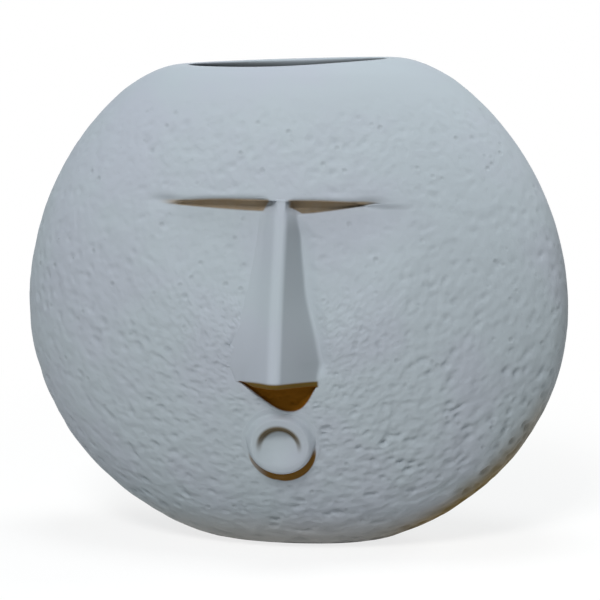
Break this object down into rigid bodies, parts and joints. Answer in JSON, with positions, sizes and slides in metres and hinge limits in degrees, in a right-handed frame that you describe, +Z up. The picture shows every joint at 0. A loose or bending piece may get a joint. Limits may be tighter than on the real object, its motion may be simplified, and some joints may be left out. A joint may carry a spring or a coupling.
{
  "type": "face vase",
  "caption": "Flattened round ceramic vase with a stippled skin, a plain brow-and-nose face, a ring mouth and a long oval opening on top.",
  "frame": {"origin": "middle of the standing face, under the foot", "axes": "+Z up, the face looks along -Y, and +X is to the right of someone who looks at the face"},
  "size_m": [0.22, 0.1114, 0.1969],
  "materials": {
    "white_stoneware": "matt, stippled, with brown in the recesses",
    "grey_felt": "pressed wool felt"
  },
  "bodies": {
    "root": {"front_shell": "white_stoneware", "back_shell": "white_stoneware", "neck_rim": "white_stoneware", "foot_slab": "white_stoneware", "nose": "white_stoneware", "mouth_ring": "white_stoneware", "left_seam_coil": "white_stoneware", "right_seam_coil": "white_stoneware", "felt_pad": "grey_felt"}
  },
  "joints": []
}
